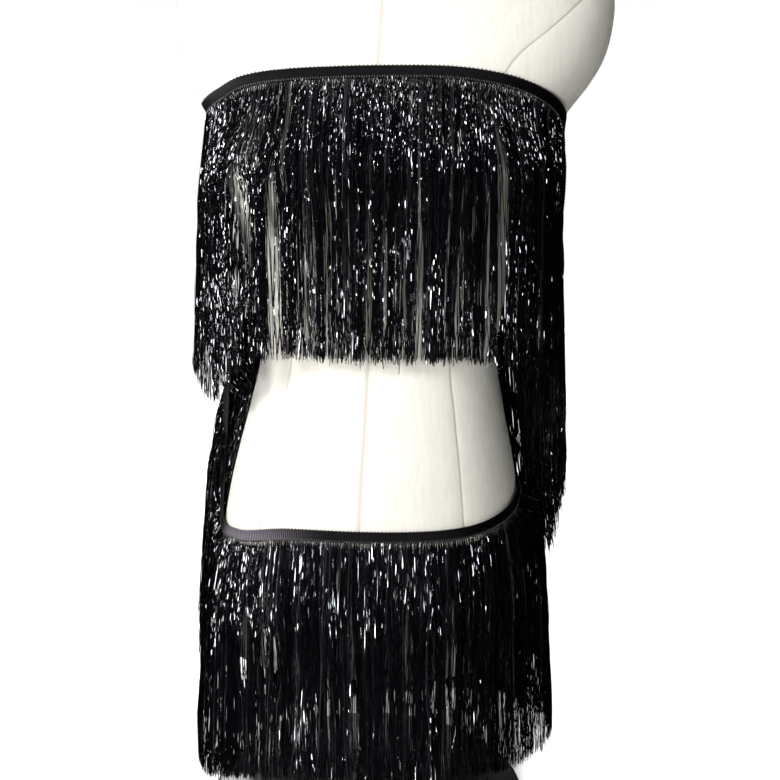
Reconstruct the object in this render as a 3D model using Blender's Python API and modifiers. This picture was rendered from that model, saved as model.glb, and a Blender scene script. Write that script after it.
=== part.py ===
"""Tassel fringe trim wound twice round a dress form on a pole stand.

Metres, +Z up, front towards -Y. The origin is on the surface the base stands on,
under the pole. A place on the form is given by its turn, the angle round the body
in degrees (0 at the front, 90 at the wearer's left, which is +X), and its height.
"""
import math

import bmesh
import bpy
from mathutils import Vector

COLLECTION_NAME = "Tassel fringe trim on a dress form"

# Driving dimensions of the trim.
TAPE_HEIGHT = 0.012
TAPE_THICKNESS = 0.0015
FRINGE_LENGTH = 0.250
FRINGE_THICKNESS = 0.0016
LOCK_PITCH = 0.0215            # one lock of strands along the tape
LOCK_SLIT = 0.0012             # between two locks, just under the uncut top of the comb
LOCK_TAPER = 0.11              # how far each edge has moved in at the tip, of the width
LOCK_UNEVEN = 0.007            # longest change of a lock's length
PIECE_GAP = 0.0003
COMB_GAP = 0.0005               # between tape and comb, which narrows where they turn

# Driving dimensions of the form and its stand.
TRIM_LINE = 0.775              # height of the tape's middle at the front of the bust
FORM_LEAN = 0.0410             # sideways offset for each metre of height
FORM_SQUARENESS = 2.30         # 2 is an ellipse; larger is boxier
BODY_RING_SPACING = 0.030
BODY_SEGMENTS = 44
BUST_RISE = 0.026
BUST_TURN = 34.0
BUST_TURN_SPREAD = 24.0
BUST_DROP = 0.098              # apex below the trim line
BUST_HEIGHT_SPREAD = 0.048
NECK_CAP_OVERHANG = 0.003
NECK_CAP_THICKNESS = 0.012
NECK_CAP_RIM = 0.003
SOCKET_FLANGE_RADIUS = 0.048
SOCKET_FLANGE_THICKNESS = 0.006
SOCKET_SLEEVE_RADIUS = 0.019
SOCKET_SLEEVE_LENGTH = 0.034
SOCKET_SHOULDER = 0.003
POLE_RADIUS = 0.0125
BASE_RADIUS = 0.170
BASE_THICKNESS = 0.012
BASE_RIM = 0.003
BASE_FALL = 0.002              # from the boss's foot to the rim
BASE_FOOT_BEVEL = 0.001
BASE_BOSS_RADIUS = 0.030
BASE_BOSS_HEIGHT = 0.022
BASE_BOSS_WALL = 0.005
BASE_BOSS_FILLET = 0.003
TURNED_STEPS = 36

# The padded body: heights are from the trim line, the rest from the body's middle.
BODY_COLUMNS = ("height", "half_width", "front", "back")
BODY_SECTIONS = (
    (-0.584, 0.1530, 0.104, 0.108),
    (-0.530, 0.1560, 0.108, 0.117),
    (-0.475, 0.1560, 0.110, 0.123),
    (-0.418, 0.1490, 0.108, 0.121),
    (-0.375, 0.1405, 0.102, 0.112),
    (-0.322, 0.1280, 0.092, 0.098),
    (-0.270, 0.1185, 0.085, 0.087),
    (-0.212, 0.1240, 0.086, 0.088),
    (-0.155, 0.1390, 0.093, 0.096),
    (-0.100, 0.1540, 0.100, 0.103),
    (-0.043, 0.1675, 0.101, 0.107),
    (-0.010, 0.1895, 0.098, 0.108),
    (0.012, 0.2010, 0.093, 0.107),
    (0.036, 0.2065, 0.087, 0.103),
    (0.065, 0.2070, 0.078, 0.097),
    (0.094, 0.1985, 0.068, 0.088),
    (0.116, 0.1730, 0.060, 0.079),
    (0.134, 0.1300, 0.055, 0.069),
    (0.150, 0.0830, 0.053, 0.061),
    (0.168, 0.0620, 0.052, 0.056),
    (0.196, 0.0570, 0.051, 0.053),
)

# The trim's way round the form. Height is of the tape's middle, from the trim line.
# Stand-off is how far the tape's inner face is from the body; hang-off is the least
# that the strands keep from it lower down, where they fall over another round; flare
# is how far they swing out for each metre that they fall.
TRIM_COLUMNS = ("turn", "height", "stand_off", "hang_off", "flare")
TRIM_ROUTE = (
    (-247.0, -0.040, 0.0020, 0.0045, 0.02),
    (-225.0, -0.036, 0.0016, 0.0045, 0.02),
    (-180.0, -0.028, 0.0016, 0.0045, 0.02),
    (-130.0, -0.036, 0.0016, 0.0060, 0.04),
    (-86.0, -0.033, 0.0030, 0.0100, 0.07),
    (-72.0, -0.031, 0.0024, 0.0080, 0.06),
    (-51.0, -0.019, 0.0016, 0.0055, 0.03),
    (-36.0, -0.007, 0.0014, 0.0050, 0.02),
    (-18.0, -0.001, 0.0007, 0.0050, 0.01),
    (12.0, 0.001, 0.0007, 0.0050, 0.01),
    (30.0, -0.005, 0.0012, 0.0050, 0.02),
    (48.0, -0.018, 0.0016, 0.0055, 0.03),
    (69.0, -0.037, 0.0036, 0.0060, 0.04),
    (86.0, -0.058, 0.0040, 0.0060, 0.05),
    (94.0, -0.097, 0.0160, 0.0100, 0.07),
    (103.0, -0.172, 0.0380, 0.0120, 0.10),
    (112.0, -0.238, 0.0460, 0.0120, 0.11),
    (124.0, -0.272, 0.0300, 0.0120, 0.10),
    (145.0, -0.270, 0.0060, 0.0120, 0.04),
    (180.0, -0.264, 0.0030, 0.0120, 0.03),
    (212.0, -0.256, 0.0110, 0.0120, 0.04),
    (236.0, -0.250, 0.0370, 0.0120, 0.05),
    (252.0, -0.270, 0.0490, 0.0120, 0.08),
    (263.0, -0.322, 0.0330, 0.0120, 0.10),
    (273.0, -0.398, 0.0110, 0.0110, 0.10),
    (285.0, -0.443, 0.0026, 0.0100, 0.09),
    (308.0, -0.446, 0.0016, 0.0060, 0.06),
    (335.0, -0.433, 0.0010, 0.0040, 0.02),
    (360.0, -0.430, 0.0007, 0.0035, 0.01),
    (402.0, -0.428, 0.0012, 0.0040, 0.02),
    (424.0, -0.421, 0.0016, 0.0080, 0.05),
    (448.0, -0.410, 0.0016, 0.0220, 0.07),
    (464.0, -0.407, 0.0016, 0.0070, 0.03),
    (490.0, -0.426, 0.0016, 0.0040, 0.02),
    (540.0, -0.464, 0.0016, 0.0040, 0.02),
    (606.0, -0.482, 0.0016, 0.0040, 0.02),
)

# Where along a strand, from 0 at the tape to 1 at the tip, the comb has its edges.
STRAND_STATIONS = (0.0, 0.012, 0.056, 0.14, 0.24, 0.34, 0.46, 0.66, 1.0)
UNCUT_STATION = 2              # the comb is uncut down to this one
STRAND_STEP = 0.005
STRAND_STEEPNESS = 1.2         # most that a strand goes out for each metre that it falls


def smooth_value(rows, column, key):
    """Value of a table's column at a key in its first column, on a smooth curve."""
    last = len(rows) - 1
    if key <= rows[0][0]:
        return rows[0][column]
    if key >= rows[last][0]:
        return rows[last][column]
    index = next(i for i in range(last) if rows[i + 1][0] >= key)
    before = rows[max(index - 1, 0)]
    low = rows[index]
    high = rows[index + 1]
    after = rows[min(index + 2, last)]
    span = high[0] - low[0]
    part = (key - low[0]) / span
    slope_low = (high[column] - before[column]) / (high[0] - before[0]) * span
    slope_high = (after[column] - low[column]) / (after[0] - low[0]) * span
    return (
        low[column] * (2 * part ** 3 - 3 * part ** 2 + 1)
        + slope_low * (part ** 3 - 2 * part ** 2 + part)
        + high[column] * (3 * part ** 2 - 2 * part ** 3)
        + slope_high * (part ** 3 - part ** 2)
    )


def body_size(height):
    """Half width, front depth and back depth of the body at a height."""
    level = height - TRIM_LINE
    columns = [BODY_COLUMNS.index(name) for name in ("half_width", "front", "back")]
    return [smooth_value(BODY_SECTIONS, column, level) for column in columns]


def body_middle(height):
    """The body's middle at a height: the form leans a little to +X."""
    bottom = TRIM_LINE + BODY_SECTIONS[0][0]
    return Vector((FORM_LEAN * (height - bottom), 0.0, height))


def bust_rise(turn, height):
    """How far the bust stands out of the plain body."""
    turn = (turn + 180.0) % 360.0 - 180.0
    aside = (abs(turn) - BUST_TURN) / BUST_TURN_SPREAD
    below = (height - TRIM_LINE + BUST_DROP) / BUST_HEIGHT_SPREAD
    return BUST_RISE * math.exp(-aside ** 2 - below ** 2)


def body_point(turn, height, clear=0.0):
    """A point that lies clear of the body's surface, and the level direction outwards."""
    half_width, front, back = body_size(height)
    angle = math.radians(turn)
    depth = front if math.cos(angle) > 0.0 else back
    power = 2.0 / FORM_SQUARENESS
    across = math.copysign(abs(math.sin(angle)) ** power, math.sin(angle))
    along = -math.copysign(abs(math.cos(angle)) ** power, math.cos(angle))
    outward = Vector((
        math.copysign(abs(across) ** (FORM_SQUARENESS - 1.0), across) / half_width,
        math.copysign(abs(along) ** (FORM_SQUARENESS - 1.0), along) / depth,
        0.0,
    )).normalized()
    surface = body_middle(height) + Vector((half_width * across, depth * along, 0.0))
    return surface + outward * (bust_rise(turn, height) + clear), outward


def route_value(turn, name):
    """A column of the trim's route at a turn."""
    return smooth_value(TRIM_ROUTE, TRIM_COLUMNS.index(name), turn)


def tape_middle(turn):
    """Middle of the tape's inner face at a turn."""
    height = TRIM_LINE + route_value(turn, "height")
    return body_point(turn, height, route_value(turn, "stand_off"))[0]


def tape_frame(turn):
    """Middle of the tape's inner face, its way up and its way out."""
    middle = tape_middle(turn)
    tangent = (tape_middle(turn + 0.5) - tape_middle(turn - 0.5)).normalized()
    stand_off = route_value(turn, "stand_off")
    above = body_point(turn, middle.z + 0.004, stand_off)[0]
    below = body_point(turn, middle.z - 0.004, stand_off)[0]
    rise = (above - below).normalized()
    outward = tangent.cross(rise).normalized()
    upward = outward.cross(tangent).normalized()
    return middle, upward, outward


def strand_points(turn, top, downward, length):
    """Points down one edge of a lock: it leaves the tape in the tape's own plane, then
    falls nearly plumb, or over what stands out below."""
    hang_off = route_value(turn, "hang_off")
    flare = route_value(turn, "flare")
    outward = body_point(turn, top.z)[1]
    fractions = [station * length for station in STRAND_STATIONS]
    start = top + downward * fractions[1]
    points = [top.copy(), start.copy()]
    point = start
    travelled = fractions[1]
    pushed = 0.0
    for target in fractions[2:]:
        while travelled < target - 1e-6:
            step = min(STRAND_STEP, target - travelled)
            height = point.z - step
            needed = (body_point(turn, height, hang_off)[0] - start).dot(outward)
            hanging = pushed + flare * step
            nearest = min(max(needed, hanging), pushed + STRAND_STEEPNESS * step)
            point = Vector((start.x, start.y, height)) + outward * nearest
            travelled += math.hypot(step, nearest - pushed)
            pushed = nearest
        points.append(point.copy())
    return points


def spaced_turns(spacing):
    """Turns of the locks' edges, evenly spaced along the tape."""
    first = TRIM_ROUTE[0][0]
    last = TRIM_ROUTE[-1][0]
    turns = [first]
    walked = [0.0]
    turn = first
    while turn < last:
        following = min(turn + 0.5, last)
        walked.append(walked[-1] + (tape_middle(following) - tape_middle(turn)).length)
        turns.append(following)
        turn = following
    count = round(walked[-1] / spacing)
    edges = []
    index = 0
    for number in range(count + 1):
        target = walked[-1] * number / count
        while index < len(walked) - 2 and walked[index + 1] < target:
            index += 1
        part = (target - walked[index]) / (walked[index + 1] - walked[index])
        edges.append(turns[index] + part * (turns[index + 1] - turns[index]))
    return edges


def new_material(name, colour, roughness, metallic=0.0):
    """A plain material with one colour."""
    material = bpy.data.materials.new(name)
    material.use_nodes = True
    shader = material.node_tree.nodes["Principled BSDF"]
    shader.inputs["Base Color"].default_value = (*colour, 1.0)
    shader.inputs["Roughness"].default_value = roughness
    shader.inputs["Metallic"].default_value = metallic
    return material


def add_object(name, mesh_source, material, collection):
    """An object made from a bmesh, in the collection, with its material."""
    mesh = bpy.data.meshes.new(name)
    mesh_source.to_mesh(mesh)
    mesh_source.free()
    mesh.materials.append(material)
    piece = bpy.data.objects.new(name, mesh)
    collection.objects.link(piece)
    return piece


def ring_heights():
    """Heights of the body's rings: every section, and between those far apart."""
    levels = [row[0] for row in BODY_SECTIONS]
    heights = []
    for low, high in zip(levels, levels[1:]):
        count = math.ceil((high - low) / BODY_RING_SPACING)
        heights.extend(TRIM_LINE + low + (high - low) * step / count for step in range(count))
    return heights + [TRIM_LINE + levels[-1]]


def make_torso(material, collection):
    """The padded body, lofted through its rings from the underside to the neck."""
    shape = bmesh.new()
    rings = []
    for height in ring_heights():
        ring = bmesh.ops.create_circle(shape, segments=BODY_SEGMENTS, radius=1.0)["verts"]
        for index, vertex in enumerate(ring):
            vertex.co = body_point(360.0 * index / BODY_SEGMENTS, height)[0]
        rings.append({edge for vertex in ring for edge in vertex.link_edges})
    for low, high in zip(rings, rings[1:]):
        bmesh.ops.bridge_loops(shape, edges=list(low | high))
    bmesh.ops.holes_fill(shape, edges=[edge for edge in shape.edges if edge.is_boundary])
    bmesh.ops.recalc_face_normals(shape, faces=shape.faces)
    piece = add_object("form_torso", shape, material, collection)
    piece.data.shade_smooth()
    piece.data.set_sharp_from_angle(angle=math.radians(30.0))
    return piece


def make_tape(turns, material, collection):
    """The heading tape: a flat band swept along the trim's route."""
    shape = bmesh.new()
    sections = []
    for turn in turns:
        middle, upward, outward = tape_frame(turn)
        half = upward * (TAPE_HEIGHT / 2)
        depth = outward * TAPE_THICKNESS
        corners = (middle - half, middle - half + depth, middle + half + depth, middle + half)
        sections.append([shape.verts.new(corner) for corner in corners])
    for near, far in zip(sections, sections[1:]):
        for index in range(4):
            other = (index + 1) % 4
            shape.faces.new((near[index], near[other], far[other], far[index]))
    shape.faces.new(sections[0])
    shape.faces.new(reversed(sections[-1]))
    bmesh.ops.recalc_face_normals(shape, faces=shape.faces)
    return add_object("heading_tape", shape, material, collection)


def make_fringe(turns, material, collection):
    """The comb of locks under the tape: an open sheet given its thickness outwards."""
    shape = bmesh.new()
    columns = []
    for number in range(len(turns) // 2):
        left, right = turns[2 * number], turns[2 * number + 1]
        sway = math.sin(2.7 * number) + 0.6 * math.sin(7.1 * number + 1.0)
        length = FRINGE_LENGTH + LOCK_UNEVEN * sway / 1.6
        edges = []
        for turn in (left, right):
            middle, upward, outward = tape_frame(turn)
            top = middle - upward * (TAPE_HEIGHT / 2 + COMB_GAP)
            edges.append(strand_points(turn, top, -upward, length))
        for index in range(UNCUT_STATION + 1, len(STRAND_STATIONS)):
            near, far = edges[0][index], edges[1][index]
            moved = (far - near) * LOCK_TAPER * STRAND_STATIONS[index]
            edges[0][index] = near + moved
            edges[1][index] = far - moved
        columns.extend([shape.verts.new(point) for point in points] for points in edges)
    for number, (near, far) in enumerate(zip(columns, columns[1:])):
        is_lock = number % 2 == 0
        last = len(near) - 1 if is_lock else UNCUT_STATION
        for index in range(last):
            shape.faces.new((near[index], near[index + 1], far[index + 1], far[index]))
    piece = add_object("fringe", shape, material, collection)
    solidify = piece.modifiers.new("Thickness", "SOLIDIFY")
    solidify.thickness = FRINGE_THICKNESS
    solidify.offset = 1.0
    return piece


def turned(name, profile, material, collection):
    """A turned solid from a profile of radius and height, outer side top to bottom."""
    shape = bmesh.new()
    vertices = [shape.verts.new((radius, 0.0, height)) for radius, height in profile]
    for start, end in zip(vertices, vertices[1:]):
        shape.edges.new((start, end))
    piece = add_object(name, shape, material, collection)
    screw = piece.modifiers.new("Turn", "SCREW")
    screw.steps = TURNED_STEPS
    screw.render_steps = TURNED_STEPS
    screw.use_merge_vertices = True
    screw.merge_threshold = 0.0001
    return piece


def make_neck_cap(material, collection):
    """A flat disc with a rounded rim on top of the neck."""
    top = TRIM_LINE + BODY_SECTIONS[-1][0]
    radius = body_size(top)[0] + NECK_CAP_OVERHANG
    low = PIECE_GAP
    high = PIECE_GAP + NECK_CAP_THICKNESS
    profile = (
        (0.0, high),
        (radius - NECK_CAP_RIM, high),
        (radius, high - NECK_CAP_RIM),
        (radius, low + NECK_CAP_RIM),
        (radius - NECK_CAP_RIM, low),
        (0.0, low),
    )
    piece = turned("form_neck_cap", profile, material, collection)
    piece.location = body_middle(top)
    return piece


def make_socket(material, collection):
    """The flange and sleeve under the body that the pole stands in."""
    top = -PIECE_GAP
    under = top - SOCKET_FLANGE_THICKNESS
    foot = top - SOCKET_SLEEVE_LENGTH
    bore = POLE_RADIUS + PIECE_GAP
    profile = (
        (0.0, top),
        (SOCKET_FLANGE_RADIUS, top),
        (SOCKET_FLANGE_RADIUS, under),
        (SOCKET_SLEEVE_RADIUS, under - SOCKET_SHOULDER),
        (SOCKET_SLEEVE_RADIUS, foot),
        (bore, foot),
        (bore, under),
        (0.0, under),
    )
    piece = turned("form_socket", profile, material, collection)
    piece.location = body_middle(TRIM_LINE + BODY_SECTIONS[0][0])
    return piece


def make_pole(material, collection):
    """The pole from the bottom of the base's boss to the socket."""
    low = BASE_THICKNESS + PIECE_GAP
    socket_top = TRIM_LINE + BODY_SECTIONS[0][0] - PIECE_GAP
    high = socket_top - SOCKET_FLANGE_THICKNESS - PIECE_GAP
    profile = ((0.0, high), (POLE_RADIUS, high), (POLE_RADIUS, low), (0.0, low))
    return turned("stand_pole", profile, material, collection)


def make_base(material, collection):
    """The round base with a boss that holds the pole."""
    bore = POLE_RADIUS + PIECE_GAP
    boss_top = BASE_THICKNESS + BASE_BOSS_HEIGHT
    edge_top = BASE_THICKNESS - BASE_FALL
    profile = (
        (0.0, BASE_THICKNESS),
        (bore, BASE_THICKNESS),
        (bore, boss_top),
        (bore + BASE_BOSS_WALL, boss_top),
        (BASE_BOSS_RADIUS, BASE_THICKNESS + BASE_BOSS_FILLET),
        (BASE_RADIUS - BASE_RIM, edge_top),
        (BASE_RADIUS, edge_top - BASE_RIM),
        (BASE_RADIUS, BASE_FOOT_BEVEL),
        (BASE_RADIUS - BASE_FOOT_BEVEL, 0.0),
        (0.0, 0.0),
    )
    return turned("stand_base", profile, material, collection)


def main():
    for piece in list(bpy.data.objects):
        bpy.data.objects.remove(piece)
    collection = bpy.data.collections.new(COLLECTION_NAME)
    bpy.context.scene.collection.children.link(collection)

    cloth = new_material("ivory_cloth", (0.83, 0.81, 0.74), 0.85)
    tape = new_material("black_tape", (0.012, 0.012, 0.013), 0.75)
    lurex = new_material("black_lurex", (0.010, 0.010, 0.013), 0.28, 0.7)
    enamel = new_material("black_enamel", (0.030, 0.030, 0.032), 0.35)
    steel = new_material("steel", (0.60, 0.60, 0.60), 0.25, 1.0)

    lock_edges = spaced_turns(LOCK_PITCH)
    slit = LOCK_SLIT / LOCK_PITCH
    turns = []
    for near, far in zip(lock_edges, lock_edges[1:]):
        turns.append(near + (far - near) * slit / 2)
        turns.append(far - (far - near) * slit / 2)

    make_torso(cloth, collection)
    make_neck_cap(enamel, collection)
    make_socket(enamel, collection)
    make_pole(steel, collection)
    make_base(enamel, collection)
    make_tape(turns, tape, collection)
    make_fringe(turns, lurex, collection)


main()
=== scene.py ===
import functools
import math

import bmesh
import bpy
import numpy as np
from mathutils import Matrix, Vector


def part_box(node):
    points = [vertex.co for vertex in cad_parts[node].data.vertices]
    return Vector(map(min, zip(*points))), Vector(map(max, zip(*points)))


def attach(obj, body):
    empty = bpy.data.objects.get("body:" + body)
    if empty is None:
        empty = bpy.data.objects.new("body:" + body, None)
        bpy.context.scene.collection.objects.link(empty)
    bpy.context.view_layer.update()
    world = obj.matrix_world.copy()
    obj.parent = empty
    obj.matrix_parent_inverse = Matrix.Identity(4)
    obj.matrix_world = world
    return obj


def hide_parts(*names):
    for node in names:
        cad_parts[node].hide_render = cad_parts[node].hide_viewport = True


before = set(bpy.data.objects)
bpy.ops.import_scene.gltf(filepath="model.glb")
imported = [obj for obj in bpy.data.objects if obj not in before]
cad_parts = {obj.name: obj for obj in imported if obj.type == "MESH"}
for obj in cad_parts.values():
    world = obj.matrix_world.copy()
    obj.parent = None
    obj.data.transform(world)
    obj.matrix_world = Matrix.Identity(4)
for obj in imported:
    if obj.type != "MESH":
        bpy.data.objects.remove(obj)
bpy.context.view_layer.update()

bl_info = {
    "name": "Tassel Fringe on a Dress Form",
    "version": (1, 0, 0),
    "blender": (4, 5, 0),
    "location": "View3D > Sidebar > Fringe",
    "description": "Builds a long metallic tassel fringe wound round a padded dress form",
    "category": "Object",
}

FORM_FOOT, NECK_TOP = (corner.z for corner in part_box("form_torso"))
BASE_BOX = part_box("stand_base")
POLE_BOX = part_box("stand_pole")
SOCKET_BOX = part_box("form_socket")
CAP_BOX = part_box("form_neck_cap")

# The form and the trim's way round it, as the frame has them.
TRIM_LINE = 0.775              # height of the tape's middle near the front
FORM_LEAN = 0.0410             # how far the body leans to +X for each metre of height
FORM_SQUARENESS = 2.30         # 2 is an ellipse
BUST_RISE = 0.026
BUST_TURN = 34.0
BUST_TURN_SPREAD = 24.0
BUST_DROP = 0.098              # how far the bust's fullest part lies below the trim line
BUST_HEIGHT_SPREAD = 0.048
STRAND_STEEPNESS = 1.2         # how far a strand may go out for each metre down

# Heights are from the trim line, the rest from the body's middle.
HALF_WIDTH, FRONT, BACK = range(1, 4)
BODY_SECTIONS = np.array((
    (-0.584, 0.1530, 0.104, 0.108),
    (-0.530, 0.1560, 0.108, 0.117),
    (-0.475, 0.1560, 0.110, 0.123),
    (-0.418, 0.1490, 0.108, 0.121),
    (-0.375, 0.1405, 0.102, 0.112),
    (-0.322, 0.1280, 0.092, 0.098),
    (-0.270, 0.1185, 0.085, 0.087),
    (-0.212, 0.1240, 0.086, 0.088),
    (-0.155, 0.1390, 0.093, 0.096),
    (-0.100, 0.1540, 0.100, 0.103),
    (-0.043, 0.1675, 0.101, 0.107),
    (-0.010, 0.1895, 0.098, 0.108),
    (0.012, 0.2010, 0.093, 0.107),
    (0.036, 0.2065, 0.087, 0.103),
    (0.065, 0.2070, 0.078, 0.097),
    (0.094, 0.1985, 0.068, 0.088),
    (0.116, 0.1730, 0.060, 0.079),
    (0.134, 0.1300, 0.055, 0.069),
    (0.150, 0.0830, 0.053, 0.061),
    (0.168, 0.0620, 0.052, 0.056),
    (0.196, 0.0570, 0.051, 0.053),
))

# The turn is the angle round the body in degrees: 0 at the front, 90 at +X.
TURN, RISE, STAND_OFF, HANG_OFF, FLARE = range(5)
TRIM_ROUTE = np.array((
    (-247.0, -0.040, 0.0020, 0.0045, 0.02),
    (-225.0, -0.036, 0.0016, 0.0045, 0.02),
    (-180.0, -0.028, 0.0016, 0.0045, 0.02),
    (-130.0, -0.036, 0.0016, 0.0060, 0.04),
    (-86.0, -0.033, 0.0030, 0.0100, 0.07),
    (-72.0, -0.031, 0.0024, 0.0080, 0.06),
    (-51.0, -0.019, 0.0016, 0.0055, 0.03),
    (-36.0, -0.007, 0.0014, 0.0050, 0.02),
    (-18.0, -0.001, 0.0007, 0.0050, 0.01),
    (12.0, 0.001, 0.0007, 0.0050, 0.01),
    (30.0, -0.005, 0.0012, 0.0050, 0.02),
    (48.0, -0.018, 0.0016, 0.0055, 0.03),
    (69.0, -0.037, 0.0036, 0.0060, 0.04),
    (86.0, -0.058, 0.0040, 0.0060, 0.05),
    (94.0, -0.097, 0.0160, 0.0100, 0.07),
    (103.0, -0.172, 0.0380, 0.0120, 0.10),
    (112.0, -0.238, 0.0460, 0.0120, 0.11),
    (124.0, -0.272, 0.0300, 0.0120, 0.10),
    (145.0, -0.270, 0.0060, 0.0120, 0.04),
    (180.0, -0.264, 0.0030, 0.0120, 0.03),
    (212.0, -0.256, 0.0110, 0.0120, 0.04),
    (236.0, -0.250, 0.0370, 0.0120, 0.05),
    (252.0, -0.270, 0.0490, 0.0120, 0.08),
    (263.0, -0.322, 0.0330, 0.0120, 0.10),
    (273.0, -0.398, 0.0110, 0.0110, 0.10),
    (285.0, -0.443, 0.0026, 0.0100, 0.09),
    (308.0, -0.446, 0.0016, 0.0060, 0.06),
    (335.0, -0.433, 0.0010, 0.0040, 0.02),
    (360.0, -0.430, 0.0007, 0.0035, 0.01),
    (402.0, -0.428, 0.0012, 0.0040, 0.02),
    (424.0, -0.421, 0.0016, 0.0080, 0.05),
    (448.0, -0.410, 0.0016, 0.0220, 0.07),
    (464.0, -0.407, 0.0016, 0.0070, 0.03),
    (490.0, -0.426, 0.0016, 0.0040, 0.02),
    (540.0, -0.464, 0.0016, 0.0040, 0.02),
    (606.0, -0.482, 0.0016, 0.0040, 0.02),
))
FIRST_TURN, LAST_TURN = TRIM_ROUTE[0][TURN], TRIM_ROUTE[-1][TURN]


def table_value(rows, column, keys):
    """Values of a table's column at keys in its first column, on a smooth curve."""
    last = len(rows) - 1
    marks, values = rows[:, 0], rows[:, column]
    keys = np.clip(keys, marks[0], marks[last])
    low = np.clip(np.searchsorted(marks, keys) - 1, 0, last - 1)
    high = low + 1
    before = np.maximum(low - 1, 0)
    after = np.minimum(low + 2, last)
    span = marks[high] - marks[low]
    part = (keys - marks[low]) / span
    slope_low = (values[high] - values[before]) / (marks[high] - marks[before]) * span
    slope_high = (values[after] - values[low]) / (marks[after] - marks[low]) * span
    return (
        values[low] * (2 * part ** 3 - 3 * part ** 2 + 1)
        + slope_low * (part ** 3 - 2 * part ** 2 + part)
        + values[high] * (3 * part ** 2 - 2 * part ** 3)
        + slope_high * (part ** 3 - part ** 2)
    )


def smooth_step(value):
    value = np.clip(value, 0.0, 1.0)
    return value * value * (3.0 - 2.0 * value)


def signed_power(value, power):
    return np.sign(value) * np.abs(value) ** power


def unit(vectors):
    """Each row of an array of vectors, one unit long."""
    return vectors / np.maximum(np.linalg.norm(vectors, axis=-1, keepdims=True), 1e-12)


def bust_rise(turn, height):
    """How far the bust stands out of the plain body."""
    turn = (turn + 180.0) % 360.0 - 180.0
    aside = (np.abs(turn) - BUST_TURN) / BUST_TURN_SPREAD
    below = (height - TRIM_LINE + BUST_DROP) / BUST_HEIGHT_SPREAD
    return BUST_RISE * np.exp(-aside ** 2 - below ** 2)


def body_point(turn, height, clear=0.0):
    """Points that lie clear of the body's surface, and the level directions outwards."""
    level = height - TRIM_LINE
    half_width = table_value(BODY_SECTIONS, HALF_WIDTH, level)
    front = table_value(BODY_SECTIONS, FRONT, level)
    back = table_value(BODY_SECTIONS, BACK, level)
    angle = np.radians(turn)
    depth = np.where(np.cos(angle) > 0.0, front, back)
    across = signed_power(np.sin(angle), 2.0 / FORM_SQUARENESS)
    along = -signed_power(np.cos(angle), 2.0 / FORM_SQUARENESS)
    outward = unit(np.stack((
        signed_power(across, FORM_SQUARENESS - 1.0) / half_width,
        signed_power(along, FORM_SQUARENESS - 1.0) / depth,
        np.zeros_like(across),
    ), axis=-1))
    surface = np.stack((
        FORM_LEAN * (height - FORM_FOOT) + half_width * across,
        depth * along,
        height + np.zeros_like(across),
    ), axis=-1)
    return surface + outward * (bust_rise(turn, height) + clear)[..., None], outward


def tape_middle(turn):
    """Middle of the tape's inner face at each turn."""
    height = TRIM_LINE + table_value(TRIM_ROUTE, RISE, turn)
    return body_point(turn, height, table_value(TRIM_ROUTE, STAND_OFF, turn))[0]


def tape_frame(turn):
    """Middle of the tape's inner face, its way up and its way out, at each turn."""
    middle = tape_middle(turn)
    tangent = unit(tape_middle(turn + 0.5) - tape_middle(turn - 0.5))
    stand_off = table_value(TRIM_ROUTE, STAND_OFF, turn)
    above = body_point(turn, middle[:, 2] + 0.004, stand_off)[0]
    below = body_point(turn, middle[:, 2] - 0.004, stand_off)[0]
    outward = unit(np.cross(tangent, unit(above - below)))
    return middle, np.cross(outward, tangent), outward


ROUTE_STEP = 0.5
ROUTE_TURNS = np.arange(FIRST_TURN, LAST_TURN + ROUTE_STEP / 2.0, ROUTE_STEP)
ROUTE_LENGTHS = np.concatenate((
    [0.0],
    np.cumsum(np.linalg.norm(np.diff(tape_middle(ROUTE_TURNS), axis=0), axis=1)),
))
TRIM_LENGTH = float(ROUTE_LENGTHS[-1])


def turn_at(length):
    """The turn that lies a length along the tape from its start."""
    return np.interp(length, ROUTE_LENGTHS, ROUTE_TURNS)


def length_at(turn):
    return np.interp(turn, ROUTE_TURNS, ROUTE_LENGTHS)


# Settings that a user would change.

class TrimSettings(bpy.types.PropertyGroup):
    tape_height: bpy.props.FloatProperty(
        name="Tape height", description="Height of the woven heading tape",
        default=0.012, min=0.005, max=0.03, unit="LENGTH", subtype="DISTANCE")
    tape_thickness: bpy.props.FloatProperty(
        name="Tape thickness", description="Thickness of the woven heading tape",
        default=0.0015, min=0.0005, max=0.003, unit="LENGTH", subtype="DISTANCE")
    rib_pitch: bpy.props.FloatProperty(
        name="Rib pitch", description="Distance from one rib of the tape to the next",
        default=0.0023, min=0.001, max=0.004, unit="LENGTH", subtype="DISTANCE")
    fringe_length: bpy.props.FloatProperty(
        name="Fringe length", description="Length of a strand below the tape",
        default=0.250, min=0.05, max=0.3, unit="LENGTH", subtype="DISTANCE")
    strand_width: bpy.props.FloatProperty(
        name="Strand width", description="Width of one flat metallic strand",
        default=0.0009, min=0.0003, max=0.002, unit="LENGTH", subtype="DISTANCE")
    strands_per_metre: bpy.props.IntProperty(
        name="Strands per metre", description="How many strands hang from a metre of tape",
        default=4600, min=200, max=6000)
    lurex_colour: bpy.props.FloatVectorProperty(
        name="Lurex colour", description="Colour of the metallic strands",
        subtype="COLOR", size=3, min=0.0, max=1.0, default=(0.0032, 0.0030, 0.0044))
    tape_colour: bpy.props.FloatVectorProperty(
        name="Tape colour", description="Colour of the heading tape",
        subtype="COLOR", size=3, min=0.0, max=1.0, default=(0.0028, 0.0026, 0.0032))


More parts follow.
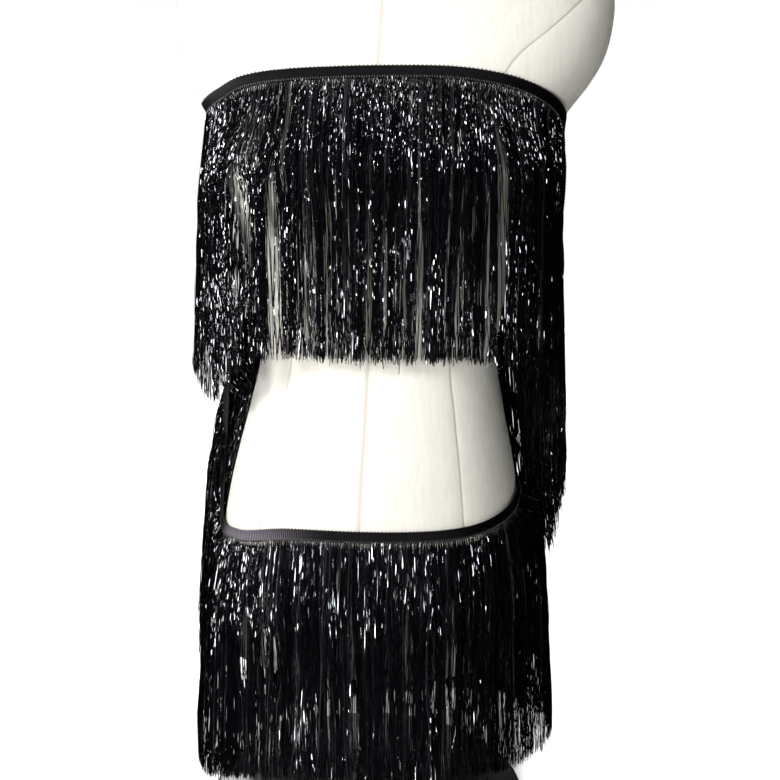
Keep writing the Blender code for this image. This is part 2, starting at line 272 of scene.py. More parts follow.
class FormSettings(bpy.types.PropertyGroup):
    cover_colour: bpy.props.FloatVectorProperty(
        name="Cover colour", description="Colour of the form's cloth cover",
        subtype="COLOR", size=3, min=0.0, max=1.0, default=(0.86, 0.845, 0.775))
    seam_depth: bpy.props.FloatProperty(
        name="Seam depth", description="How far the cover draws in along its seams",
        default=0.0011, min=0.0, max=0.003, unit="LENGTH", subtype="DISTANCE")
    enamel_colour: bpy.props.FloatVectorProperty(
        name="Enamel colour", description="Colour of the base, socket and neck cap",
        subtype="COLOR", size=3, min=0.0, max=1.0, default=(0.022, 0.022, 0.024))
    steel_colour: bpy.props.FloatVectorProperty(
        name="Steel colour", description="Colour of the pole",
        subtype="COLOR", size=3, min=0.0, max=1.0, default=(0.56, 0.56, 0.57))


class StudioSettings(bpy.types.PropertyGroup):
    camera_distance: bpy.props.FloatProperty(
        name="Camera distance", description="Level distance from the form to the camera",
        default=1.22, min=0.5, max=5.0, unit="LENGTH", subtype="DISTANCE")
    camera_turn: bpy.props.FloatProperty(
        name="Camera turn", description="How far the camera is round to +X",
        default=math.radians(6.5), unit="ROTATION", subtype="ANGLE")
    camera_pitch: bpy.props.FloatProperty(
        name="Camera pitch", description="How far the camera looks down",
        default=math.radians(14.0), unit="ROTATION", subtype="ANGLE")
    camera_lens: bpy.props.FloatProperty(
        name="Camera lens", description="Focal length in millimetres",
        default=57.1, min=20.0, max=200.0)
    key_power: bpy.props.FloatProperty(
        name="Key light", description="Power of the large light at the front left",
        default=41.0, min=0.0, subtype="POWER", unit="POWER")
    room_light: bpy.props.FloatProperty(
        name="Room light", description="Strength of the even light from all round",
        default=0.07, min=0.0, max=2.0)


# Materials.

WHITE = (1.0, 1.0, 1.0, 1.0)
# The pale grey of a painted sheen on the tape's ribs.
PAINTED_SHEEN_COLOUR = (0.35, 0.32, 0.38, 1.0)
SOILED_CLOTH = (0.74, 0.70, 0.60, 1.0)
SEAM_CLOTH = (0.66, 0.62, 0.54, 1.0)
STRAND_GREY = (0.060, 0.058, 0.064, 1.0)
THREAD_COLOUR = (0.055, 0.053, 0.052)
FACET_WIDTH = 0.0009           # the film's small creased facets
FACET_LENGTH = 0.0025

def set_inputs(tree, node, inputs):
    """Give each input of a node its value, or link it from a socket."""
    for name, value in inputs.items():
        if isinstance(value, bpy.types.NodeSocket):
            tree.links.new(value, node.inputs[name])
        else:
            node.inputs[name].default_value = value


def add_node(tree, kind, inputs=None, **settings):
    """Add a shader node with its settings and inputs; its outputs are returned."""
    node = tree.nodes.new("ShaderNode" + kind)
    for name, value in settings.items():
        setattr(node, name, value)
    set_inputs(tree, node, inputs or {})
    return node.outputs


def shared_group(name, inputs, outputs, build):
    """The shader group of a name, made once: build is given its way to add nodes and
    its inputs, and returns the sockets that it puts out."""
    if name in bpy.data.node_groups:
        return bpy.data.node_groups[name]
    tree = bpy.data.node_groups.new(name, "ShaderNodeTree")
    for label, kind, value in inputs:
        socket = tree.interface.new_socket(
            label, in_out="INPUT", socket_type="NodeSocket" + kind)
        socket.default_value = value
    for label, kind in outputs:
        tree.interface.new_socket(
            label, in_out="OUTPUT", socket_type="NodeSocket" + kind)
    given = tree.nodes.new("NodeGroupInput").outputs
    put = tree.nodes.new("NodeGroupOutput")
    made = build(functools.partial(add_node, tree), given)
    labels = [label for label, _ in outputs]
    set_inputs(tree, put, dict(zip(labels, made)))
    return tree


def patches_group():
    """Soft patches on Object coordinates: a colour with lighter and darker places."""
    def build(add, given):
        stretched = add("VectorMath", {
            0: add("TexCoord")["Object"], 1: given["Stretch"]}, operation="MULTIPLY")
        noise = add("TexNoise", {
            "Vector": stretched[0], "Scale": given["Size"], "Detail": 4.0})["Fac"]
        spread = add_range(add, noise, from_min=0.3, from_max=0.7, to_min=-1.0)
        amount = add("Math", {
            0: spread, 1: given["Amount"], 2: 1.0}, operation="MULTIPLY_ADD")
        tinted = add("VectorMath", {
            0: given["Colour"], "Scale": amount[0]}, operation="SCALE")
        return tinted[0], noise
    return shared_group(
        "Patches",
        (("Colour", "Color", (0.5, 0.5, 0.5, 1.0)), ("Size", "Float", 20.0),
         ("Amount", "Float", 0.1), ("Stretch", "Vector", (1.0, 1.0, 1.0))),
        (("Colour", "Color"), ("Value", "Float")), build)


def weave_group():
    """A plain weave on a UV map in metres: the height of its threads."""
    def build(add, given):
        place = add("UVMap", uv_map="UVMap")["UV"]
        waves = [
            add("TexWave", {
                "Vector": place, "Scale": given["Threads per metre"],
                "Distortion": given["Unevenness"], "Detail": 1.0, "Detail Scale": 0.4,
            }, bands_direction=direction)["Fac"]
            for direction in ("X", "Y")
        ]
        return [add("Math", {0: waves[0], 1: waves[1]}, operation="MAXIMUM")[0]]
    return shared_group(
        "Weave",
        (("Threads per metre", "Float", 1000.0), ("Unevenness", "Float", 1.5)),
        (("Height", "Float"),), build)


def crinkle_group():
    """Film creased into small flat facets on a UV map in metres: each facet's normal,
    and a value of its own."""
    def build(add, given):
        sizes = add("CombineXYZ", {"X": given["Width"], "Y": given["Length"]})
        place = add("UVMap", uv_map="UVMap")["UV"]
        scaled = add("VectorMath", {0: place, 1: sizes[0]}, operation="MULTIPLY")
        facets = add("TexVoronoi", {
            "Vector": scaled[0], "Scale": 1.0}, voronoi_dimensions="2D")["Color"]
        raised = add("Math", {0: given["Lift"], 1: 0.5}, operation="ADD")
        level = add("CombineXYZ", {"X": 0.5, "Y": raised[0]})
        lean = add("VectorMath", {0: facets, 1: level[0]}, operation="SUBTRACT")
        much = add("VectorMath", {
            0: lean[0], "Scale": given["Tilt"]}, operation="SCALE")
        # The middle of a normal's colour is the film's own plane.
        flat = add("VectorMath", {
            0: much[0], 1: (1.0, 1.0, 0.0), 2: (0.5, 0.5, 1.0)},
            operation="MULTIPLY_ADD")
        normal = add("NormalMap", {"Color": flat[0]}, uv_map="UVMap")["Normal"]
        return normal, add("SeparateXYZ", {0: facets})["Z"]
    return shared_group(
        "Crinkle",
        (("Width", "Float", 900.0), ("Length", "Float", 300.0),
         ("Tilt", "Float", 0.8), ("Lift", "Float", 0.0)),
        (("Normal", "Vector"), ("Value", "Float")), build)


def new_material(name, colour, roughness):
    """A material, its way to add nodes and its way to set its shader's inputs."""
    material = bpy.data.materials.new(name)
    material.use_nodes = True
    tree = material.node_tree
    shade = functools.partial(set_inputs, tree, tree.nodes["Principled BSDF"])
    shade({"Base Color": (*colour, 1.0), "Roughness": roughness})
    return material, functools.partial(add_node, tree), shade


def add_patches(add, colour, size, amount, stretch=(1.0, 1.0, 1.0)):
    return add("Group", {
        "Colour": (*colour, 1.0), "Size": size, "Amount": amount, "Stretch": stretch,
    }, node_tree=patches_group())


def add_weave(add, threads, unevenness):
    return add("Group", {
        "Threads per metre": threads, "Unevenness": unevenness,
    }, node_tree=weave_group())["Height"]


def add_range(add, value, **ends):
    """A value brought into a range; the ends that are not given stay 0 and 1."""
    labels = {name.replace("_", " ").title(): end for name, end in ends.items()}
    return add("MapRange", {"Value": value, **labels})["Result"]


def add_mix(add, factor, first, second):
    return add("Mix", {
        "Factor": factor, "A": first, "B": second}, data_type="RGBA")["Result"]


def add_number(add, name):
    """A number that the mesh holds for each vertex."""
    return add("Attribute", attribute_name=name)["Fac"]


def add_bump(add, height, strength, distance):
    return add("Bump", {
        "Height": height, "Strength": strength, "Distance": distance})["Normal"]


def lurex_material(colour):
    """Flat metallised film: black with a violet tone, crinkled so that it glints."""
    material, add, shade = new_material("black_lurex", colour, 0.2)
    tone = add("ValToRGB", {"Fac": add_number(add, "strand_tone")})["Color"]
    ramp = tone.node.color_ramp
    ramp.elements[0].color = (*(0.5 * part for part in colour), 1.0)
    ramp.elements[1].color = STRAND_GREY
    ramp.elements.new(0.80).color = (*(1.7 * part for part in colour), 1.0)
    crinkle = add("Group", {
        "Width": 1.0 / FACET_WIDTH, "Length": 1.0 / FACET_LENGTH, "Tilt": 0.62,
        "Lift": add_number(add, "film_lean")}, node_tree=crinkle_group())
    shade({
        "Base Color": tone,
        "Specular IOR Level": 1.0,
        "Roughness": add_range(add, crinkle["Value"], to_min=0.06, to_max=0.16),
        "Normal": crinkle["Normal"],
    })
    return material


def tape_material(colour):
    """Black polyester tape: fine weave over its modelled ribs, with painted shade darkening
    the grooves between the ribs and a painted sheen on the ribs over the hip.
    """
    material, add, shade = new_material("black_tape", colour, 0.45)
    # Painted shade: the grooves between the ribs are painted at a fifth of the tape's
    # colour.
    groove_shade = (*(0.2 * part for part in colour), 1.0)
    patches = add_patches(add, colour, 160.0, 0.35)
    groove_shaded = add_mix(add, add_number(add, "rib"), groove_shade, patches["Colour"])
    shade({
        # The drawn number paints the pale sheen on the ribs over the hip.
        "Base Color": add_mix(add, add_number(add, "drawn"), groove_shaded, PAINTED_SHEEN_COLOUR),
        "Specular IOR Level": 0.05,
        "Sheen Weight": 0.008,
        "Sheen Roughness": 0.4,
        "Sheen Tint": (0.75, 0.72, 0.78, 1.0),
        "Normal": add_bump(add, add_weave(add, 420.0, 0.6), 0.5, 0.0002),
    })
    return material


def thread_material():
    """The chained sewing thread at the tape's lower edge."""
    material, add, shade = new_material("chain_thread", THREAD_COLOUR, 0.45)
    patches = add_patches(add, THREAD_COLOUR, 260.0, 0.5)
    shade({
        "Base Color": patches["Colour"],
        "Sheen Weight": 0.3,
        "Normal": add_bump(add, patches["Value"], 0.4, 0.0002),
    })
    return material


def cover_material(colour):
    """Ivory cloth: streaks of the yarn, a fine weave, and darker seams."""
    material, add, shade = new_material("ivory_cloth", colour, 0.85)
    patches = add_patches(add, colour, 260.0, 0.045, (1.0, 1.0, 0.12))
    soil = add("TexNoise", {
        "Vector": add("TexCoord")["Object"], "Scale": 9.0, "Detail": 3.0})["Fac"]
    soiled = add_range(add, soil, from_min=0.45, from_max=0.8, to_max=0.35)
    warm = add_mix(add, soiled, patches["Colour"], SOILED_CLOTH)
    relief = add("Math", {
        0: add_weave(add, 300.0, 2.5), 1: 0.35, 2: patches["Value"]},
        operation="MULTIPLY_ADD")
    shade({
        "Base Color": add_mix(add, add_number(add, "seam"), warm, SEAM_CLOTH),
        "Sheen Weight": 0.15,
        "Sheen Roughness": 0.5,
        "Normal": add_bump(add, relief[0], 0.35, 0.0004),
    })
    return material


def enamel_material(colour):
    """Satin enamel on metal with a faint orange peel."""
    material, add, shade = new_material("black_enamel", colour, 0.34)
    patches = add_patches(add, colour, 24.0, 0.05)
    peel = add("TexNoise", {"Vector": add("TexCoord")["Object"], "Scale": 900.0})["Fac"]
    shade({
        "Base Color": patches["Colour"],
        "Coat Weight": 0.35,
        "Coat Roughness": 0.2,
        "Roughness": add_range(add, patches["Value"], to_min=0.26, to_max=0.46),
        "Normal": add_bump(add, peel, 0.12, 0.0003),
    })
    return material


def steel_material(colour):
    """Brushed steel, drawn lengthways."""
    material, add, shade = new_material("steel", colour, 0.3)
    patches = add_patches(add, colour, 320.0, 0.12, (1.0, 1.0, 0.02))
    shade({
        "Base Color": patches["Colour"],
        "Metallic": 1.0,
        "Roughness": add_range(add, patches["Value"], to_min=0.2, to_max=0.42),
        "Normal": add_bump(add, patches["Value"], 0.2, 0.0001),
    })
    return material


# Meshes.

MERGE_REACH = 1e-6
SHARP_FROM = math.radians(50.0)    # edges of a larger angle are shaded sharp
BEVEL_FROM = math.radians(35.0)    # and turned edges of a larger one are bevelled


def place_piece(name, mesh, material, slot, replaces=()):
    """A finished piece at the origin, on the row's one body."""
    mesh.materials.append(material)
    piece = bpy.data.objects.new(name, mesh)
    bpy.context.scene.collection.objects.link(piece)
    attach(piece, "root")
    if replaces:
        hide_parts(*replaces)
    return piece


def wrapped_grid(columns, rows, shape_of):
    """A grid whose two ways, each from 0 to 1, are bent into place by shape_of, which
    gives the points, the map in metres and the vertices' numbers for the material."""
    shape = bmesh.new()
    layer = shape.loops.layers.uv.new("UVMap")
    bmesh.ops.create_grid(
        shape, x_segments=columns, y_segments=rows, size=0.5, calc_uvs=True)
    flat = np.array([vertex.co for vertex in shape.verts]) + 0.5
    points, chart, numbers = shape_of(flat[:, 0], flat[:, 1])
    for vertex, point in zip(shape.verts, points):
        vertex.co = point
    for face in shape.faces:
        for loop in face.loops:
            loop[layer].uv = chart[loop.vert.index]
    for name, values in numbers.items():
        number = shape.verts.layers.float.new(name)
        for vertex, value in zip(shape.verts, values):
            vertex[number] = value
    return shape


def bare_mesh(shape, name):
    mesh = bpy.data.meshes.new(name)
    shape.to_mesh(mesh)
    shape.free()
    return mesh


def finished_mesh(shape, name):
    """A closed mesh from a bmesh: doubles merged, ends filled, faces outwards."""
    bmesh.ops.remove_doubles(shape, verts=shape.verts, dist=MERGE_REACH)
    open_edges = [edge for edge in shape.edges if edge.is_boundary]
    if open_edges:
        bmesh.ops.holes_fill(shape, edges=open_edges)
    bmesh.ops.recalc_face_normals(shape, faces=shape.faces)
    mesh = bare_mesh(shape, name)
    mesh.shade_smooth()
    mesh.set_sharp_from_angle(angle=SHARP_FROM)
    return mesh


def lathe(name, profile, middle=(0.0, 0.0), steps=96, bevel=0.0008):
    """A turned mesh: a profile of radius and height spun about a plumb axis."""
    shape = bmesh.new()
    vertices = [shape.verts.new((radius, 0.0, height)) for radius, height in profile]
    edges = [shape.edges.new(pair) for pair in zip(vertices, vertices[1:])]
    bmesh.ops.spin(
        shape, geom=vertices + edges, cent=(0.0, 0.0, 0.0), axis=(0.0, 0.0, 1.0),
        angle=2.0 * math.pi, steps=steps, use_merge=True)
    bmesh.ops.remove_doubles(shape, verts=shape.verts, dist=MERGE_REACH)
    bmesh.ops.recalc_face_normals(shape, faces=shape.faces)
    if bevel:
        sharp = [edge for edge in shape.edges
                 if edge.is_manifold and edge.calc_face_angle() > BEVEL_FROM]
        bmesh.ops.bevel(
            shape, geom=sharp, offset=bevel, segments=3, profile=0.5,
            affect="EDGES", material=-1)
    bmesh.ops.translate(shape, verts=shape.verts, vec=(*middle, 0.0))
    return finished_mesh(shape, name)


def arc(centre, reach, start, end, steps):
    """A profile's points round a centre, from one angle to another."""
    angles = [start + (end - start) * index / steps for index in range(steps + 1)]
    return [(centre[0] + reach[0] * math.cos(angle),
             centre[1] + reach[1] * math.sin(angle)) for angle in angles]


# The form.

# Turns of the cover's seams by height from the trim line, for the side at +X.
PRINCESS, SIDE, BACK_PRINCESS = range(1, 4)
SEAM_LINES = np.array((
    (-0.584, 44.0, 90.0, 138.0),
    (-0.430, 39.0, 90.0, 138.0),
    (-0.300, 38.5, 90.0, 136.0),
    (-0.180, 34.0, 90.0, 138.0),
    (-0.098, 33.0, 90.0, 142.0),
    (0.000, 32.0, 90.0, 142.0),
    (0.018, 35.0, 90.0, 140.0),
    (0.034, 41.5, 90.0, 137.0),
    (0.061, 54.5, 91.0, 130.0),
    (0.094, 74.0, 94.0, 120.0),
    (0.116, 84.0, 95.0, 112.0),
    (0.134, 88.0, 96.0, 108.0),
    (0.196, 60.0, 96.0, 130.0),
))
PANEL_COLUMNS = 20
COVER_ROWS = 170
COVER_GIRTH = 0.155            # metres of the cover's map for each radian round it
NARROWEST_PANEL = 0.004        # where two seams are nearer than this they are one
SEAM_HALF_WIDTH = 0.0011
PANEL_PUFF = 0.009
COVER_INSET = 0.0002           # the cover lies this far inside the frame's body
HEM_RADIUS = 0.006             # the cover's round edge under the body


def seam_turns(level):
    """Turns of the eight seams at each height, from the front round to the front."""
    left = [table_value(SEAM_LINES, column, level)
            for column in (PRINCESS, SIDE, BACK_PRINCESS)]
    right = [360.0 - turn for turn in reversed(left)]
    zero = np.zeros_like(level)
    return np.stack([zero, *left, zero + 180.0, *right, zero + 360.0])


def cover_points(depth, across, up):
    """Places the cover's grid: across goes round the body, up goes up it."""
    hem = HEM_RADIUS / (NECK_TOP - FORM_FOOT)
    height = FORM_FOOT + (NECK_TOP - FORM_FOOT) * up
    seams = seam_turns(height - TRIM_LINE)
    panels = len(seams) - 1
    number = np.minimum((across * panels).astype(int), panels - 1)
    part = across * panels - number
    # Columns crowd towards the seams, so that the groove is round.
    part = part - 0.145 * np.sin(2.0 * math.pi * part)
    index = np.arange(len(across))
    low, high = seams[number, index], seams[number + 1, index]
    turn = low + (high - low) * part
    # From one seam to the next along the body.
    breadth = np.linalg.norm(
        body_point(low, height)[0] - body_point(high, height)[0], axis=1)
    away = np.minimum(part, 1.0 - part) * breadth
    stitched = np.exp(-(away / SEAM_HALF_WIDTH) ** 2)
    # The padding draws in towards a seam from both sides, so the cover kinks there.
    drawn = 0.7 * np.exp(-away / PANEL_PUFF) + 0.3 * stitched
    whole = np.where(breadth < NARROWEST_PANEL, 0.0, 1.0)
    foot = np.clip(1.0 - up / hem, 0.0, 1.0)
    tuck = HEM_RADIUS * 0.6 * (1.0 - np.sqrt(np.clip(1.0 - foot ** 2, 0.0, 1.0)))
    points, _ = body_point(turn, height, -COVER_INSET - depth * drawn * whole - tuck)
    chart = np.stack((np.radians(turn) * COVER_GIRTH, height), axis=-1)
    return points, chart, {"seam": stitched * whole}


class FRINGE_OT_form(bpy.types.Operator):
    """Add the padded body in its seamed cloth cover"""
    bl_idname = "fringe_form.add_form"
    bl_label = "Form body"

    def execute(self, context):
        settings = context.scene.fringe_form
        shape = wrapped_grid(
            8 * PANEL_COLUMNS, COVER_ROWS,
            functools.partial(cover_points, settings.seam_depth))
        mesh = finished_mesh(shape, "form_cover")
        cover = place_piece(
            "form_cover", mesh, cover_material(settings.cover_colour),
            "ivory_cloth", ["form_torso"])
        return {"FINISHED"}


PLAY = 0.0003                  # between the pole and what it stands in
POLE_RADIUS = (POLE_BOX[1].x - POLE_BOX[0].x) / 2.0
BORE_RADIUS = POLE_RADIUS + PLAY


def box_middle(box):
    return (box[0] + box[1]) / 2.0


def cap_mesh():
    low, high = CAP_BOX
    middle = box_middle(CAP_BOX)
    radius = (high.x - low.x) / 2.0
    rim, step = 0.0035, 0.0012
    rounded = arc((radius - rim, middle.z), (rim, (high.z - low.z) / 2.0),
                  math.pi / 2.0, -math.pi / 2.0, 8)
    profile = [(0.0, high.z - step), (radius * 0.62, high.z - step),
               (radius * 0.66, high.z), *rounded, (0.0, low.z)]
    return lathe("neck_cap", profile, middle.xy, bevel=0.0)


def socket_mesh():
    low, high = SOCKET_BOX
    flange = (high.x - low.x) / 2.0
    sleeve = BORE_RADIUS + 0.0062
    plate = high.z - 0.006
    profile = (
        (0.0, high.z), (flange, high.z), (flange, plate),
        (sleeve + 0.004, plate - 0.0012), (sleeve, plate - 0.005),
        (sleeve, low.z), (BORE_RADIUS, low.z), (BORE_RADIUS, plate), (0.0, plate),
    )
    return lathe("pole_socket", profile, box_middle(SOCKET_BOX).xy)


def pole_mesh():
    low, high = POLE_BOX
    profile = ((0.0, high.z), (POLE_RADIUS, high.z), (POLE_RADIUS, low.z), (0.0, low.z))
    return lathe("pole", profile, steps=64)


def base_mesh():
    low, high = BASE_BOX
    radius = (high.x - low.x) / 2.0
    plate = POLE_BOX[0].z - PLAY
    boss, foot = BORE_RADIUS + 0.005, 0.030
    round_off = 0.004
    rim_top = plate - 0.002
    profile = [(0.0, plate), (BORE_RADIUS, plate), (BORE_RADIUS, high.z), (boss, high.z)]
    for part in np.arange(1, 8) / 8:
        profile.append((boss + (foot - boss) * part ** 1.7,
                        high.z + (plate + 0.0005 - high.z) * (1 - (1 - part) ** 2.2)))
    profile += [(foot + 0.002, plate - 0.0001), (radius * 0.86, rim_top + 0.0006)]
    profile += arc((radius - round_off, rim_top - round_off), (round_off, round_off),
                   math.pi / 2.0, 0.0, 6)
    profile += [(radius, 0.0012), (radius - 0.0012, 0.0), (0.0, 0.0)]
    return lathe("base", profile, steps=128, bevel=0.0)


class FRINGE_OT_stand(bpy.types.Operator):
    """Add the neck cap, the socket, the pole and the base"""
    bl_idname = "fringe_form.add_stand"
    bl_label = "Cap and stand"

    def execute(self, context):
        settings = context.scene.fringe_form
        enamel = enamel_material(settings.enamel_colour)
        steel = steel_material(settings.steel_colour)
        for mesh, material, slot, node in (
                (cap_mesh(), enamel, "black_enamel", "form_neck_cap"),
                (socket_mesh(), enamel, "black_enamel", "form_socket"),
                (pole_mesh(), steel, "steel", "stand_pole"),
                (base_mesh(), enamel, "black_enamel", "stand_base")):
            place_piece(mesh.name, mesh, material, slot, [node])
        return {"FINISHED"}


# The heading tape.

RIB_HEIGHT = 0.00030
TAPE_ROWS = 12
PICOT_PITCH = 0.0037
PICOT_HEIGHT = 0.0018
ROOT_RISE = 0.0018             # the strands start this far above the tape's lower edge
SEWN_OFF = 0.0003              # and this far off its face
STITCH_LENGTH = 0.0013         # half the sizes of a stitch
STITCH_WIDTH = 0.0005
STITCH_DEPTH = 0.0004


def tape_points(height, thickness, rib_pitch, along, around):
    """Places the tape's grid: along runs along the trim, around goes round its section."""
    length = along * TRIM_LENGTH
    turn = turn_at(length)
    middle, upward, outward = tape_frame(turn)
    angle = 2.0 * math.pi * around
    rise = signed_power(np.sin(angle), 0.42)
    out = signed_power(np.cos(angle), 0.55)
    rib = np.cos(2.0 * math.pi * length / rib_pitch)
    lower = np.clip(0.85 - 1.1 * np.abs(rise + 0.35), 0.0, 1.0)
    picot = np.clip(np.cos(2.0 * math.pi * length / PICOT_PITCH) - 0.35, 0.0, 1.0)
    top = np.clip(rise - 0.9, 0.0, 0.1) * 10.0
    up = (height / 2.0 - RIB_HEIGHT) * rise + PICOT_HEIGHT * picot * top
    relief = np.where(out > 0.3, RIB_HEIGHT * rib * lower, 0.0)
    points = (middle + upward * up[:, None]
              + outward * (thickness / 2.0 * (1.0 + out) + relief)[:, None])
    chart = np.stack((length, around * 2.0 * (height + thickness)), axis=-1)
    # The rib number also paints shade: near 0 in the grooves, where the material darkens
    # the tape.
    ribbed = 0.5 + 0.5 * rib * np.where(lower > 0.0, 1.0, 0.3)
    # Painted sheen: over the hip at the left the ribs are painted paler, as though a lamp
    # glanced off them, fading out towards the front.
    sheen_mask = smooth_step((turn - 288.0) / 14.0) * (
        1.0 - 0.95 * smooth_step((turn - 312.0) / 40.0)
        - 0.05 * smooth_step((turn - 380.0) / 30.0))
    return points, chart, {"rib": ribbed, "drawn": sheen_mask * (0.06 + 0.94 * ribbed ** 2)}


class FRINGE_OT_tape(bpy.types.Operator):
    """Add the ribbed heading tape with its picot edge"""
    bl_idname = "fringe_form.add_tape"
    bl_label = "Heading tape"

    def execute(self, context):
        settings = context.scene.fringe_trim
        columns = int(TRIM_LENGTH / settings.rib_pitch * 4)
        shape = wrapped_grid(columns, TAPE_ROWS, functools.partial(
            tape_points, settings.tape_height, settings.tape_thickness,
            settings.rib_pitch))
        mesh = finished_mesh(shape, "ribbed_tape")
        place_piece(
            "ribbed_tape", mesh, tape_material(settings.tape_colour),
            "black_tape", ["heading_tape"])
        return {"FINISHED"}


class FRINGE_OT_stitches(bpy.types.Operator):
    """Add the chained thread that holds the strands at the tape's lower edge"""
    bl_idname = "fringe_form.add_stitches"
    bl_label = "Chain stitches"

    def execute(self, context):
        settings = context.scene.fringe_trim
        count = int(TRIM_LENGTH / settings.rib_pitch) - 1
        number = np.arange(count)
        middle, upward, outward = tape_frame(turn_at((number + 0.5) * settings.rib_pitch))
        tangent = np.cross(upward, outward)
        single = bmesh.new()
        bmesh.ops.create_icosphere(single, subdivisions=1, radius=1.0)
        knot = np.array([vertex.co for vertex in single.verts])
        faces = np.array([[vertex.index for vertex in face.verts] for face in single.faces])
        single.free()
        centre = (middle - upward * (settings.tape_height / 2.0 - ROOT_RISE)
                  + outward * (settings.tape_thickness + STITCH_DEPTH))
        # The stitches lean to and fro by turns, as a chain does.
        lean = np.where(number % 2 == 0, 0.25, -0.25)[:, None]
        along = unit(upward + tangent * lean)
        points = centre[:, None, :]
        for way, axis, half_size in ((along, 2, STITCH_LENGTH),
                                     (np.cross(outward, along), 0, STITCH_WIDTH),
                                     (outward, 1, STITCH_DEPTH)):
            points = points + way[:, None, :] * (knot[None, :, axis, None] * half_size)
        corners = faces[None] + (number * len(knot))[:, None, None]
        mesh = bpy.data.meshes.new("chain_stitches")
        mesh.from_pydata(
            points.reshape(-1, 3).tolist(), [], corners.reshape(-1, 3).tolist())
        mesh.shade_smooth()
        place_piece("chain_stitches", mesh, thread_material(), "black_tape")
        return {"FINISHED"}


# The strands.

FALL_STEPS = 100               # steps of the hanging curtain from the tape to the tips
STRAND_SEGMENTS = 24
# How far down a strand its sections are, closer together near the tape.
SAMPLES = (np.arange(STRAND_SEGMENTS + 1) / STRAND_SEGMENTS) ** 1.12
SEED = 20
STITCH_SPREAD = 0.00026        # how unevenly the strands lie in their stitches
LOCK_WIDTHS = (0.004, 0.017)
LOCK_LEAN = 0.0026
LOOSE_DRIFT = 0.006
WAVER = 0.0006                 # how much a strand wavers on its way down
FLICK = 0.0024                 # how far its tip turns aside
UNEVEN_CUT = 0.012
PARTING_REACH = 0.011
BUNDLE_WIDTH = 0.0026          # strands this near each other lie alike
COMBED = 0.15                  # the share of bundles whose film lies flat in long facets
LOOSE = 0.26                   # the share of strands that hang clear of their lock
SHORT = 0.18                   # the shares that are cut short, and that hang lower
LONG = 0.008
BODY_CLEARANCE = 0.0025
ROOT_LENGTH = 0.025            # the part of a strand in which it widens from its stitch
FREE_TWIST = 0.9
PUFF = 0.007                   # how far the strands swell out below the tape at the front
FULL_GATHER = 0.1              # from here on the locks lean as far as they do anywhere
DENSEST = 2.2
LOWER_TIER = 280.0             # the turn at which the second round begins at the front
MIDDLE_LEAN = -0.24            # how far the film leans up between the top and the tip
FURTHEST_MOVE = 22.0           # the most degrees that a strand drifts round the body
SLOWEST = 0.0008               # the least metres of curtain for a degree

